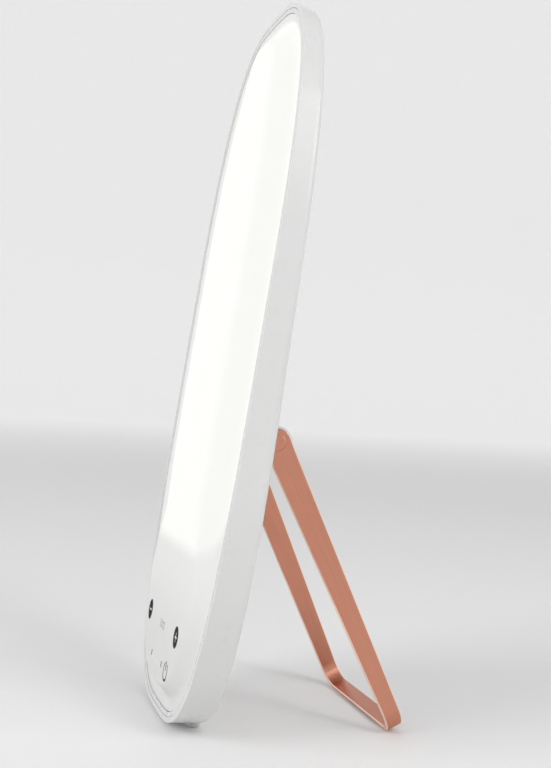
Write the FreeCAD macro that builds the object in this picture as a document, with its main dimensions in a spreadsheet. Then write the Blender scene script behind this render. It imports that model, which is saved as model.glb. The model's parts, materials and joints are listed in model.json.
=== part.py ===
# Light therapy lamp: a slim oval panel that leans back on a folding U-shaped strip stand.
#
# The panel is drawn upright in its own frame, millimetres: X across, Y towards the back, Z up
# along the panel, with the crown of the front cover near Y = 0.  The stand is drawn in a frame
# whose origin is the middle of the hinge axis and whose Z runs up along the legs.  At the end
# both are leaned back until the two feet and the stand's pad touch the table, with the origin
# on the table under the middle of the lamp.
import FreeCAD, Part
import Sketcher
import math
import os

V = FreeCAD.Vector
ACROSS = V(1, 0, 0)
BACKWARD = V(0, 1, 0)
UP = V(0, 0, 1)
ORIGIN = V(0, 0, 0)

doc = FreeCAD.newDocument("light_therapy_lamp")
sheet = doc.addObject("Spreadsheet::Sheet", "sizes")


# ---------------------------------------------------------------- driving dimensions

DIMENSIONS = (
    # outline of the panel
    ("half_width", 88.8),
    ("half_height", 180.0),
    ("waist_rise", 10.7),          # height of the widest level above the middle
    ("top_roundness", 3.15),       # exponents of the two halves of the oval
    ("bottom_roundness", 3.24),
    # depths of the panel
    ("rim_depth", 4.8),            # housing's front edge, behind the crown of the cover
    ("rear_depth", 19.4),          # rear edge at mid height
    ("rear_taper", 3.87),          # how much thinner the panel is at its top than at its middle
    ("side_draft", 1.2),           # how far the side leans inward towards the back
    ("rear_edge_radius", 3.4),
    ("back_crown", 4.3),           # how far the middle of the back stands behind its edge
    ("level_margin", 4.3),         # how far the level middle of the back reaches past the ears
    ("wall", 2.4),
    ("shoulder_inset", 2.2),       # slanted corner between the inside's wall and its back
    ("shoulder_depth", 3.2),
    # front stack
    ("seam", 0.2),
    ("bezel_band", 2.2),
    ("cover_sink", 0.5),           # cover's edge, behind the housing's front edge
    ("cover_wall", 2.2),
    ("cover_rise", 5.2),           # how far the middle of the cover stands before its edge
    ("cover_roll", 30.0),          # width of the border over which it rises
    ("cover_lip", 4.0),            # flat back border that the tape holds
    ("tape_wall", 0.2),
    ("tape_margin", 0.3),
    ("web_wall", 1.6),
    ("skirt_depth", 5.0),
    ("window_inset", 9.0),
    ("window_bottom", 99.0),
    ("window_corner", 22.0),
    ("diffuser_wall", 0.8),
    ("diffuser_reach", 2.4),       # how far the sheets reach below the window
    ("guide_wall", 2.0),
    ("guide_reach", 1.0),
    ("reflector_wall", 0.2),
    ("plate_wall", 0.8),
    ("plate_margin", 0.6),
    ("plate_bottom", 110.0),
    ("strip_reach", 96.0),         # half length of a light strip
    ("led_pitch", 8.0),
    ("led_length", 3.0),
    ("led_height", 1.2),
    ("led_depth", 1.0),
    ("led_seat", 0.15),
    # control area
    ("key_margin", 37.3),          # distance of the outer keys from the outline
    ("touch_border", 10.7),        # touch board beyond the outer keys
    ("touch_top", 112.0),
    ("touch_height", 46.0),
    ("touch_taper", 20.0),
    ("touch_depth", 5.2),
    ("board_wall", 1.2),
    ("key_row", 136.1),
    ("level_row", 154.2),
    ("power_margin", 37.8),        # distance of the power key from the outline
    ("level_gap", 14.0),           # from the power key to the near end of the brightness line
    ("spring_radius", 2.6),
    ("display_width", 22.0),
    ("display_height", 11.0),
    ("display_depth", 1.3),
    ("control_half_width", 46.0),
    ("control_top", 113.0),
    ("control_height", 36.0),
    ("control_depth", 13.0),
    ("chip_height", 1.1),
    # power inlet
    ("jack_drop", 160.0),
    ("jack_radius", 5.0),
    ("jack_length", 10.5),
    ("jack_flange", 1.2),          # flange beyond the barrel
    ("jack_flange_wall", 0.8),
    ("jack_sink", 1.2),
    ("jack_boss_wall", 3.0),
    ("jack_boss_depth", 3.2),
    ("plug_radius", 2.85),
    ("plug_length", 9.0),
    ("centre_pin_radius", 1.0),
    # hinge
    ("pivot_stand", 13.0),         # hinge axis behind the rear edge
    ("pivot_drop", 36.5),
    ("ear_inner", 28.0),
    ("ear_outer", 39.8),
    ("ear_radius", 8.2),
    ("ear_wall", 2.4),
    ("ear_fillet", 1.2),
    ("pin_radius", 2.5),
    ("pin_bevel", 0.3),
    ("groove_depth", 0.45),
    ("bushing_wall", 1.1),
    ("flange_radius", 5.0),
    ("flange_wall", 1.0),
    ("washer_margin", 1.6),        # washer inside the edge of the eye
    ("washer_wall", 0.45),
    ("spring_stack", 2.4),
    ("clip_wall", 0.9),
    ("clip_radius", 4.4),
    ("cap_radius", 4.1),
    ("cap_wall", 0.7),
    ("cap_bevel", 0.35),
    # stand
    ("open_angle", 32.7),
    ("strip_wall", 2.5),
    ("eye_radius", 6.9),
    ("eye_length", 11.0),
    ("leg_length", 153.4),
    ("foot_half_width", 4.1),
    ("leg_spread", 10.1),          # how far each leg leans outward over its length
    ("eye_bend", 24.0),
    ("foot_bend", 10.0),
    ("strip_chamfer", 0.5),
    ("pad_half_length", 30.0),
    ("pad_half_width", 3.0),
    ("pad_wall", 0.8),
    # feet under the panel
    ("foot_spread", 26.0),
    ("foot_depth", 18.2),
    ("foot_radius", 3.9),
    ("foot_round", 1.1),
    ("foot_stand", 1.9),
    ("foot_socket", 1.8),
    ("foot_boss_wall", 1.6),
    # fasteners
    ("screw_radius", 1.4),
    ("screw_head_radius", 2.6),
    ("screw_head", 1.6),
    ("boss_radius", 3.2),
    ("boss_reach", 3.6),           # how far the bezel's screw bosses stand behind its web
    ("boss_floor", 0.4),           # what a blind pilot hole leaves of the web
    ("upper_screw_row", 120.0),    # rows of screws below the middle, and their ends' distances
    ("upper_screw_margin", 19.7),  # from the outline or the board's edges
    ("lower_screw_row", 166.0),
    ("lower_screw_margin", 25.8),
    ("plate_screw_row", 105.0),
    ("plate_screw_margin", 23.0),
    ("board_screw_margin", 5.0),
    ("screw_sink", 4.4),           # screw seats below the back
    ("housing_screw_length", 10.0),
    ("plate_screw_length", 3.6),
    ("board_screw_length", 5.0),
    # clearances
    ("running_clearance", 0.05),
    ("press_clearance", 0.1),
    ("screw_clearance", 0.2),
    ("head_clearance", 0.3),
)

row_number = 0
for alias, number in DIMENSIONS:
    row_number += 1
    sheet.set("A%d" % row_number, alias)
    sheet.set("B%d" % row_number, str(number))
    sheet.setAlias("B%d" % row_number, alias)
doc.recompute()

OVERRUN = 1.0     # how far a cutting shape passes the face it opens
BOND = 0.2        # how far shapes that become one solid run into each other
THROUGH = 20.0    # from the front of any boss out through the back
FULL_TURN = 360.0
SNAP = 0.1        # how near an edge lies to where it is looked for
EAR_OPENING = 6.0          # the ears' hollow runs this far into the cavity behind the back's edge
EAR_ROOT_REACH = 0.8       # how near the ears' root edges lie to the back's surface
SPRING_LEAF = 1.0 / 3.0    # share of a hinge spring's length that its rim stands back
PLATE_SCREW_SHARES = (-1.0, -1.0 / 3.0, 1.0 / 3.0, 1.0)    # of the row's half length
SHOULDER_SLOPE = 1.5       # height over width of the touch board's cut lower corners

# Strips in which the curved surfaces are lofted, and rounds in which two places are searched for.
COVER_STEPS = 6
LINING_STEPS = 3
EDGE_STEPS = 3
BACK_STEPS = 4
CAVITY_STEPS = 2
HALVINGS = 50
LEAN_ROUNDS = 20


class Size:
    """A length of the model: its value now, and the expression that ties it to the sheet."""

    def __init__(self, value, text):
        self.value = value
        self.text = text

    def joined(self, sign, other, value):
        text = other.text if isinstance(other, Size) else repr(other)
        return Size(value, "(%s %s %s)" % (self.text, sign, text))

    def __add__(self, other):
        return self.joined("+", other, self.value + plain(other))

    def __sub__(self, other):
        return self.joined("-", other, self.value - plain(other))

    def __mul__(self, other):
        return self.joined("*", other, self.value * plain(other))

    def __neg__(self):
        return Size(-self.value, "(-%s)" % self.text)


def plain(length):
    """The number behind a Size, or the number itself."""
    return length.value if isinstance(length, Size) else float(length)


def size(alias):
    return Size(float(getattr(sheet, alias)), "sizes.%s" % alias)


def value(alias):
    return size(alias).value


def bind(item, field, length):
    """Tie one field of a document object to the sheet."""
    if isinstance(length, Size):
        item.setExpression(field, length.text)
    else:
        parts = field.split(".")
        if len(parts) == 1:
            setattr(item, field, length)
        else:
            item.setExpression(field, repr(float(length)))


# ---------------------------------------------------------------- levels shared by several pieces

bezel_inset = size("wall") + size("seam")
bezel_inner_inset = bezel_inset + size("bezel_band")
cover_inset = bezel_inner_inset + size("seam")
cover_front = size("rim_depth") + size("cover_sink")
cover_back = cover_front + size("cover_wall")
rim_depth = size("rim_depth")
web_front = cover_back + size("tape_wall")
web_back = web_front + size("web_wall")
guide_front = web_back + size("diffuser_wall")
guide_back = guide_front + size("guide_wall")
plate_front = guide_back + size("reflector_wall")
plate_back = plate_front + size("plate_wall")
plate_inset = bezel_inner_inset + size("plate_margin")
flange_inset = plate_inset + size("plate_wall")
strip_inset = flange_inset + size("plate_wall")
guide_inset = strip_inset + size("led_depth") + size("seam")
touch_back = size("touch_depth") + size("board_wall")
pivot_depth = size("rear_depth") + size("pivot_stand")
pilot_radius = size("screw_radius") + size("running_clearance")
hole_radius = size("screw_radius") + size("screw_clearance")
bushing_radius = size("pin_radius") + size("running_clearance") + size("bushing_wall")
REAR_SLOPE = value("rear_taper") / value("half_height")
SIDES = (("right", 1), ("left", -1))


# ---------------------------------------------------------------- small builders

def add(kind, name):
    return doc.addObject(kind, name)


def add_body(name):
    return add("PartDesign::Body", name)


# Where the outline's arcs meet, as turns of a quarter from its side to its end.
JOINS = tuple(math.radians(turn) for turn in (0.0, 28.0, 74.0, 90.0))


def quarter_joins(roundness, reach, inset):
    """Points of a quarter of the oval with the outline's direction at each."""
    across = value("half_width") - inset
    along = reach - inset
    joins = []
    for turn in JOINS:
        x = across * max(0.0, math.cos(turn)) ** (2.0 / roundness)
        z = along * math.sin(turn) ** (2.0 / roundness)
        direction = V(-(z / along) ** (roundness - 1.0) / along, (x / across) ** (roundness - 1.0) / across)
        joins.append((V(x, z), direction.normalize()))
    return joins


def tangent_arc(start, direction, end):
    """Start, middle and end of the arc that leaves the start in this direction."""
    chord = end - start
    aside = direction.cross(UP)
    bulge = math.tan(0.5 * direction.getAngle(chord)) * 0.5 * chord.Length
    across = chord.cross(UP).normalize()
    if across.dot(aside) < 0.0 or chord.cross(direction).z > 0.0:
        across = -across
    return start, start + chord * 0.5 + across * bulge, end


def quarter_arcs(roundness, reach, inset):
    """A quarter of the oval as pairs of arcs that meet in line with one another."""
    arcs = []
    joins = quarter_joins(roundness, reach, inset)
    for (start, leaving), (end, arriving) in zip(joins, joins[1:]):
        chord = end - start
        along = chord.dot(leaving + arriving)
        turned_off = 2.0 * (1.0 - leaving.dot(arriving))
        handle = (math.sqrt(along ** 2 + turned_off * chord.dot(chord)) - along) / turned_off
        meeting = (start + end + (leaving - arriving) * handle) * 0.5
        passing = (end - arriving * handle - start - leaving * handle).normalize()
        arcs.append(tangent_arc(start, leaving, meeting))
        arcs.append(tangent_arc(meeting, passing, end))
    return arcs


def oval_arcs(inset):
    """The panel's outline, brought inward by the inset, counter-clockwise from its right side."""
    rise = value("waist_rise")
    upper = quarter_arcs(value("top_roundness"), value("half_height") - rise, inset)
    lower = quarter_arcs(value("bottom_roundness"), value("half_height") + rise, inset)

    def mirrored(arc, across, up):
        return [(across * point.x, rise + up * point.y) for point in arc]

    ring = [mirrored(arc, 1, 1) for arc in upper]
    ring += [mirrored(reversed(arc), -1, 1) for arc in reversed(upper)]
    ring += [mirrored(arc, -1, -1) for arc in lower]
    ring += [mirrored(reversed(arc), 1, -1) for arc in reversed(lower)]
    return ring


def outline_circle(inset, coordinate, at, facing):
    """The circle that the inset outline follows where this coordinate has this value, on the facing side."""
    for arc in oval_arcs(inset):
        start, middle, end = [V(x, 0, z) for x, z in arc]
        low, high = sorted((start[coordinate], end[coordinate]))
        if middle.dot(facing) > 0.0 and low <= at <= high:
            return Part.Arc(start, middle, end).toShape().Curve
    raise ValueError("the outline does not reach %.1f" % at)


def outline_x(z, inset=0.0):
    """Half width of the inset outline at one height."""
    circle = outline_circle(inset, 2, z, ACROSS)
    return circle.Center.x + math.sqrt(circle.Radius ** 2 - (z - circle.Center.z) ** 2)


def outline_bottom(x, inset=0.0):
    """Height of the inset outline's lower side at one distance from the middle."""
    circle = outline_circle(inset, 0, x, -UP)
    return circle.Center.z - math.sqrt(circle.Radius ** 2 - (x - circle.Center.x) ** 2)


def oval_wire(name, inset, depth, slope=0.0):
    """The outline as a closed curve, on an upright plane or on one that follows the rear slope."""
    edges = []
    for arc in oval_arcs(inset):
        edges.append(Part.Arc(*[V(x, depth - slope * z, z) for x, z in arc]).toShape())
    wire = add("Part::Feature", name)
    wire.Shape = Part.Wire(edges)
    return wire


def oval_slab(name, inset, front, back):
    """An oval plate between two depths."""
    slab = add("Part::Extrusion", name)
    slab.Base = oval_wire(name + "_outline", plain(inset), plain(front))
    slab.DirMode = "Custom"
    slab.Dir = BACKWARD
    slab.Solid = True
    bind(slab, "LengthFwd", back - front)
    return slab


def block(name, low, high):
    """A box between two corners, each a list of three lengths."""
    item = add("Part::Box", name)
    for field, axis, start, end in zip(("Length", "Width", "Height"), "xyz", low, high):
        bind(item, "Placement.Base." + axis, start)
        if isinstance(end, Size):
            bind(item, field, end - start)
        elif isinstance(start, Size):
            bind(item, field, -start + end)
        else:
            setattr(item, field, end - start)
    return item


def rod(name, radius, start, length, axis):
    """A cylinder from a start point along an axis."""
    item = add("Part::Cylinder", name)
    bind(item, "Radius", radius)
    bind(item, "Height", length)
    item.Placement.Rotation = FreeCAD.Rotation(UP, axis)
    for letter, length in zip("xyz", start):
        bind(item, "Placement.Base." + letter, length)
    return item


def fuse(name, items):
    item = add("Part::MultiFuse", name)
    item.Shapes = items
    item.Refine = True
    return item


def common(name, items):
    item = add("Part::MultiCommon", name)
    item.Shapes = items
    return item


def cut(name, base, tools):
    """The base less one tool, or less several joined in a compound."""
    item = add("Part::Cut", name)
    item.Base = base
    item.Tool = tools[0] if len(tools) == 1 else group(name + "_tools", tools)
    return item


def group(name, items):
    item = add("Part::Compound", name)
    item.Links = items
    return item


def fillet(name, base, radius, chosen, kind="Part::Fillet"):
    """Round (or chamfer) the edges of the base that the test picks."""
    doc.recompute()
    item = add(kind, name)
    item.Base = base
    edges = []
    for number, edge in enumerate(base.Shape.Edges, 1):
        if chosen(edge):
            edges.append((number, radius, radius))
    item.Edges = edges
    return item


def mid_point(edge):
    return edge.valueAt(0.5 * (edge.FirstParameter + edge.LastParameter))


PIECES = []


def piece(item, label, carrier, local=None):
    """Register a finished piece: its label, what carries it, and its place on the carrier."""
    item.Label = label
    PIECES.append((item, label, carrier, local or FreeCAD.Placement()))
    return item


def sketch_on(body, role, shift=None):
    """A sketch on one of the body's own origin planes, moved along the plane's normal."""
    sketch = body.newObject("Sketcher::SketchObject", body.Name + "_sketch")
    plane = [item for item in body.Origin.OriginFeatures if item.Role == role][0]
    sketch.AttachmentSupport = [(plane, "")]
    sketch.MapMode = "FlatFace"
    if shift is not None:
        bind(sketch, "AttachmentOffset.Base.z", shift)
    return sketch


def draw_polygon(sketch, corners):
    """A closed polygon whose corners are all dimensioned from the sketch's origin."""
    first = sketch.GeometryCount
    count = len(corners)
    spots = [V(plain(x), plain(y), 0) for x, y in corners]
    for index in range(count):
        sketch.addGeometry(Part.LineSegment(spots[index], spots[(index + 1) % count]))
    for index in range(count):
        line = first + index
        following = first + (index + 1) % count
        sketch.addConstraint(Sketcher.Constraint("Coincident", line, 2, following, 1))
    for index, corner in enumerate(corners):
        for kind, length in zip(("DistanceX", "DistanceY"), corner):
            number = sketch.addConstraint(
                Sketcher.Constraint(kind, -1, 1, first + index, 1, plain(length)))
            if isinstance(length, Size):
                sketch.setExpression("Constraints[%d]" % number, length.text)


def draw_circle(sketch, x, y, radius):
    """A circle dimensioned from the sketch's origin."""
    number = sketch.addGeometry(Part.Circle(V(plain(x), plain(y), 0), UP, plain(radius)))
    for kind, length in (("DistanceX", x), ("DistanceY", y)):
        constraint = sketch.addConstraint(
            Sketcher.Constraint(kind, -1, 1, number, 3, plain(length)))
        if isinstance(length, Size):
            sketch.setExpression("Constraints[%d]" % constraint, length.text)
    constraint = sketch.addConstraint(Sketcher.Constraint("Radius", number, plain(radius)))
    if isinstance(radius, Size):
        sketch.setExpression("Constraints[%d]" % constraint, radius.text)


def turned(name, profile):
    """A body turned about the X axis: the profile is a list of (distance along X, radius)."""
    body = add_body(name)
    sketch = sketch_on(body, "XY_Plane")
    draw_polygon(sketch, profile)
    turning = body.newObject("PartDesign::Revolution", name + "_turning")
    turning.Profile = sketch
    turning.ReferenceAxis = (sketch, ["H_Axis"])
    turning.Angle = FULL_TURN
    return body


def board(name, corners, front, thickness, holes=()):
    """A flat board parallel to the front: corners in X and Z, holes as (x, z, radius)."""
    body = add_body(name)
    sketch = sketch_on(body, "XZ_Plane", -front)
    draw_polygon(sketch, corners)
    for x, z, radius in holes:
        draw_circle(sketch, x, z, radius)
    pad = body.newObject("PartDesign::Pad", name + "_pad")
    pad.Profile = sketch
    pad.Reversed = True
    bind(pad, "Length", thickness)
    return body


def rounded_path(corners, radii):
    """A wire of straight runs joined by tangent arcs, one radius for each inner corner."""
    edges = []
    start = corners[0]
    for before, corner, after, radius in zip(corners, corners[1:], corners[2:], radii):
        inward = (before - corner).normalize()
        outward = (after - corner).normalize()
        half_angle = 0.5 * inward.getAngle(outward)
        reach = radius / math.tan(half_angle)
        bisector = (inward + outward).normalize()
        middle = corner + bisector * (radius / math.sin(half_angle) - radius)
        enter = corner + inward * reach
        leave = corner + outward * reach
        edges.append(Part.LineSegment(start, enter).toShape())
        edges.append(Part.Arc(enter, middle, leave).toShape())
        start = leave
    edges.append(Part.LineSegment(start, corners[-1]).toShape())
    return Part.Wire(edges)


# ---------------------------------------------------------------- surfaces of the panel

def level_roll(part):
    """Share of a crown's rise at a share of its roll: level at both ends, steep in between."""
    return 1.0 - (1.0 - part) ** 3 * (1.0 + 3.0 * part)


def domed_roll(part):
    """The same for a crown that rises straight from its edge."""
    return 1.0 - (1.0 - part) ** 2


def rolled(inset, depth, rise, roll, shape, steps):
    """Insets and depths from a crown's edge to its level middle."""
    profile = []
    for step in range(steps + 1):
        share = step / steps
        profile.append((inset + roll * share, depth + rise * shape(share)))
    return profile


def rounded_edge(inset, radius, depth, sweep, steps):
    """Insets and depths round an outer edge, from the side on."""
    profile = []
    for step in range(steps + 1):
        turn = sweep * step / steps
        profile.append((inset + radius * (1.0 - math.cos(turn)), depth - radius * (1.0 - math.sin(turn))))
    return profile


def lofted(name, profile, slope=0.0):
    """A solid through ovals with these insets and depths, as the strips between them."""
    loft = add("Part::Loft", name)
    loft.Sections = [oval_wire("%s_%d" % (name, index), inset, depth, slope)
                     for index, (inset, depth) in enumerate(profile)]
    loft.Solid = True
    loft.Ruled = True
    return loft


def depth_on(profile, x, z):
    """Depth of a crowned surface at one place, by its insets and depths."""
    inset = inset_at(x, z)
    (low, start), (high, end) = profile[0], profile[-1]
    for before, after in zip(profile, profile[1:]):
        if before[0] <= inset <= after[0]:
            low, start = before
            high, end = after
    share = min(1.0, max(0.0, (inset - low) / (high - low)))
    return start + (end - start) * share if inset <= profile[-1][0] else profile[-1][1]


def tapered_slab(name, front_inset, front, rear_inset, rear):
    """An oval slab from an upright front to a rear that follows the rear slope."""
    loft = add("Part::Loft", name)
    loft.Sections = [
        oval_wire(name + "_front", front_inset, front),
        oval_wire(name + "_rear", rear_inset, rear, REAR_SLOPE),
    ]
    loft.Solid = True
    loft.Ruled = True
    return loft


def inset_at(x, z):
    """How far inside the outline a point lies, in the outline's own terms."""
    rise = value("waist_rise")
    above = z > rise
    roundness = value("top_roundness") if above else value("bottom_roundness")
    reach = value("half_height") - rise if above else value("half_height") + rise
    low = 0.0
    high = value("half_width")
    for _ in range(HALVINGS):
        middle = 0.5 * (low + high)
        across = abs(x) / (value("half_width") - middle)
        along = abs(z - rise) / (reach - middle)
        if across ** roundness + along ** roundness < 1.0:
            low = middle
        else:
            high = middle
    return low


def cover_outside():
    """Insets and depths of the cover's outer face."""
    return rolled(cover_inset.value, cover_front.value, -value("cover_rise"), value("cover_roll"),
                  level_roll, COVER_STEPS)


def cover_inside():
    """Insets and depths of the cover's inner face."""
    return rolled(cover_inset.value + value("cover_lip"), cover_back.value, -value("cover_rise"),
                  value("cover_roll") - value("cover_lip"), level_roll, LINING_STEPS)


def back_roll(inset):
    """Width of the back's crown from this inset to the level middle that carries the ears."""
    return value("half_width") - inset - value("ear_outer") - value("level_margin")


def back_edge():
    """Insets and depths round the housing's rear edge, up to where the back takes over."""
    draft = value("side_draft")
    sweep = 0.5 * math.pi - math.atan(2.0 * value("back_crown") / back_roll(draft))
    return rounded_edge(draft, value("rear_edge_radius"), value("rear_depth"), sweep, EDGE_STEPS)


def back_outside():
    """Insets and depths of the housing's back, from its rounded edge to its level middle."""
    inset, depth = back_edge()[-1]
    return rolled(inset, depth, value("back_crown"), back_roll(inset), domed_roll, BACK_STEPS)


def back_inside():
    """The same for the inside of the back, one wall further in, after its slanted corner."""
    wall = value("wall")
    inset = wall + value("shoulder_inset")
    depth = value("rear_depth") - wall
    corner = [(wall, depth - value("shoulder_depth"))]
    return corner + rolled(inset, depth, value("back_crown"), back_roll(inset), domed_roll, CAVITY_STEPS)


def back_depth(x, z):
    """Depth of the housing's outer back at one place."""
    return depth_on(back_outside(), x, z) - REAR_SLOPE * z


def side_inset(depth, z):
    """How far inside the outline the housing's drafted side lies at one place."""
    front = value("rim_depth")
    rear = value("rear_depth") - value("rear_edge_radius") - REAR_SLOPE * z
    return value("side_draft") * (depth - front) / (rear - front)


# ---------------------------------------------------------------- shared places

PIVOT = V(0, pivot_depth.value, -value("pivot_drop"))
OPEN = FreeCAD.Rotation(ACROSS, value("open_angle"))
STAND = FreeCAD.Placement(PIVOT, OPEN)


def mirrored_places(right):
    """Places on the right of the middle, followed by the same ones on its left."""
    return right + [(-x, z) for x, z in reversed(right)]


def beside_outline(row, margin):
    """A place on one level that keeps its margin from the outline."""
    return outline_x(-value(row)) - value(margin), -value(row)


HOUSING_SCREWS = mirrored_places([
    beside_outline("upper_screw_row", "upper_screw_margin"),
    beside_outline("lower_screw_row", "lower_screw_margin"),
])
board_screw_x = value("control_half_width") - value("board_screw_margin")
BOARD_SCREWS = mirrored_places([
    (board_screw_x, -value("control_top") - value("board_screw_margin")),
    (board_screw_x, -value("control_top") - value("control_height") + value("board_screw_margin")),
])
plate_screw_x, plate_screw_z = beside_outline("plate_screw_row", "plate_screw_margin")
PLATE_SCREWS = [(plate_screw_x * share, plate_screw_z) for share in PLATE_SCREW_SHARES]
STANDOFFS = mirrored_places([(42.0, -117.0), (27.0, -155.0)])
boss_split = web_back + size("boss_reach")
CHIPS = ((-22.0, 12.0, 12.0), (-4.0, 7.0, 5.0), (8.0, 6.0, 10.0), (24.0, 14.0, 9.0))   # x, width, height
key_spread = outline_x(-value("key_row")) - value("key_margin")
power_spread = outline_x(-value("level_row")) - value("power_margin")
level_spread = power_spread - value("level_gap")


def lean_angle():
    """The lean at which a foot and the pad's front edge touch the same table."""
    pad = STAND.multVec(V(0, -value("pad_half_width"), -value("leg_length") - value("pad_wall")))
    lean = 0.0
    for _ in range(LEAN_ROUNDS):
        foot = foot_seat() + foot_direction(lean) * value("foot_stand")
        lean = math.atan2(pad.z - foot.z, pad.y - foot.y)
    return lean


def foot_seat(side=1):
    """The point of the housing's lower side that a foot grows out of."""
    spread = value("foot_spread")
    depth = value("foot_depth")
    inset = side_inset(depth, outline_bottom(spread))
    return V(side * spread, depth, outline_bottom(spread, inset))


def foot_direction(lean):
    """Straight down, for a panel that leans back by this angle."""
    return V(0, math.sin(lean), -math.cos(lean))


LEAN = lean_angle()
DOWN = foot_direction(LEAN)


# ---------------------------------------------------------------- front cover

def make_front_cover():
    body = fuse("cover_body", [
        oval_slab("cover_rim", cover_inset, cover_front, cover_back),
        lofted("cover_dome", cover_outside()),
    ])
    hollow = lofted("cover_hollow", cover_inside())
    piece(cut("front_cover", body, [hollow]), "front_cover", "panel")


# ---------------------------------------------------------------- bezel and window

def above_level(name, level, front, back):
    """The space above one level of the panel, between two depths."""
    side = value("half_width")
    return block(name, [-side, front, level], [side, back, value("half_height")])


def window_slab(name, inset, reach, front, back):
    """An oval plate cut straight at a reach below the window, with rounded lower corners."""
    level = -size("window_bottom") - reach
    plate = common(name + "_blank", [
        oval_slab(name + "_oval", inset, front, back),
        above_level(name + "_limit", level, front, back),
    ])

    def lower_corner(edge):
        on_level = abs(mid_point(edge).z - level.value) < SNAP
        along_depth = abs(edge.Vertexes[0].Y - edge.Vertexes[-1].Y) > SNAP
        return on_level and along_depth

    return fillet(name, plate, value("window_corner"), lower_corner)


def make_front_bezel():
    """The ring round the cover, with a web that frames the window and carries the light engine."""
    skirt_front = rim_depth + size("press_clearance")
    skirt_back = rim_depth + size("skirt_depth")
    inner = oval_slab("bezel_skirt_inner", bezel_inner_inset, skirt_front - OVERRUN, skirt_back + OVERRUN)
    skirt = cut("bezel_skirt", oval_slab("bezel_skirt_outer", bezel_inset, skirt_front, skirt_back), [inner])
    web = oval_slab("bezel_web", bezel_inner_inset - BOND, web_front, web_back)
    window = window_slab("bezel_window", size("window_inset"), 0.0, web_front - OVERRUN, web_back + OVERRUN)
    solids = [skirt, web]
    holes = [window]
    reach = size("boss_reach")
    sheets = plate_front - web_back
    for index, (x, z) in enumerate(HOUSING_SCREWS):
        solids.append(rod("bezel_boss_%d" % index, size("boss_radius"), (x, web_back - BOND, z),
                          reach + BOND, BACKWARD))
        holes.append(rod("bezel_pilot_%d" % index, pilot_radius, (x, web_back + size("boss_floor"), z),
                         reach, BACKWARD))
    for index, (x, z) in enumerate(PLATE_SCREWS):
        solids.append(rod("bezel_plate_boss_%d" % index, size("boss_radius"), (x, web_back - BOND, z),
                          sheets + BOND, BACKWARD))
        holes.append(rod("bezel_plate_pilot_%d" % index, pilot_radius, (x, web_back - size("boss_floor"), z),
                         sheets + OVERRUN, BACKWARD))
    for index, (x, z) in enumerate(STANDOFFS):
        solids.append(rod("bezel_standoff_%d" % index, size("boss_radius"), (x, touch_back, z),
                          web_front - touch_back + BOND, BACKWARD))
    piece(cut("front_bezel", fuse("bezel_body", solids), holes), "front_bezel", "panel")


def make_cover_tape():
    """The adhesive ring between the web and the cover's flat back border."""
    margin = size("tape_margin")
    outer = oval_slab("tape_outer", cover_inset + margin, cover_back, web_front)
    inner = oval_slab("tape_inner", cover_inset + size("cover_lip") - margin, cover_back - OVERRUN,
                      web_front + OVERRUN)
    piece(cut("cover_tape", outer, [inner]), "cover_tape", "panel")


# ---------------------------------------------------------------- light engine

def make_light_stack():
    """Diffuser, light guide, reflector and the tray that presses them to the bezel's web."""
    piece(window_slab("diffuser_sheet", plate_inset, size("diffuser_reach"), web_back, guide_front),
          "diffuser_sheet", "panel")
    piece(window_slab("light_guide", guide_inset, size("guide_reach"), guide_front, guide_back),
          "light_guide", "panel")
    piece(window_slab("reflector_sheet", guide_inset, size("guide_reach"), guide_back, plate_front),
          "reflector_sheet", "panel")
    tray = cut("plate_tray", oval_slab("plate_outer", plate_inset, guide_front, plate_back),
               [oval_slab("plate_pocket", flange_inset, guide_front - OVERRUN, plate_front)])
    limit = above_level("plate_limit", -size("plate_bottom"), guide_front - OVERRUN, plate_back + OVERRUN)
    holes = []
    for index, (x, z) in enumerate(PLATE_SCREWS):
        holes.append(rod("plate_hole_%d" % index, hole_radius, (x, plate_front - OVERRUN, z),
                         size("plate_wall") + 2.0 * OVERRUN, BACKWARD))
    piece(cut("back_plate", common("plate_blank", [tray, limit]), holes), "back_plate", "panel")


def make_light_strips():
    """The two flexible strips inside the tray's rim, each with its row of light sources."""
    clear = size("running_clearance")
    ring = cut("strip_ring", oval_slab("strip_outer", flange_inset + clear, guide_front + clear, guide_back),
               [oval_slab("strip_inner", strip_inset, guide_front - OVERRUN, guide_back + OVERRUN)])
    reach = size("strip_reach")
    width = size("half_width")
    for tag, sign in SIDES:
        low, high = (0.0, width) if sign > 0 else (-width, 0.0)
        limit = block("strip_limit_" + tag, [low, guide_front, -reach], [high, guide_back, reach])
        piece(common("led_strip_" + tag, [ring, limit]), "led_strip_" + tag, "panel")
        piece(make_leds(tag, sign), "leds_" + tag, "panel")


def make_leds(tag, sign):
    """The light sources along one strip, each square to the strip."""
    depth = value("led_depth")
    inset = strip_inset.value + 0.5 * depth + value("led_seat")
    pitch = value("led_pitch")
    count = int(2.0 * (value("strip_reach") - value("led_length")) / pitch)
    leds = []
    for index in range(count + 1):
        z = (index - 0.5 * count) * pitch
        along = V(sign * (outline_x(z + BOND, inset) - outline_x(z - BOND, inset)), 0, 2.0 * BOND)
        led = add("Part::Box", "led_%s_%d" % (tag, index))
        bind(led, "Length", size("led_depth"))
        bind(led, "Width", size("led_height"))
        bind(led, "Height", size("led_length"))
        turn = FreeCAD.Rotation(UP, along)
        half = V(0.5 * depth, 0.5 * value("led_height"), 0.5 * value("led_length"))
        middle = V(sign * outline_x(z, inset), 0.5 * (guide_front.value + guide_back.value), z)
        led.Placement = FreeCAD.Placement(middle - turn.multVec(half), turn)
        leds.append(led)
    return group("leds_" + tag, leds)


# ---------------------------------------------------------------- controls and power

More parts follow.
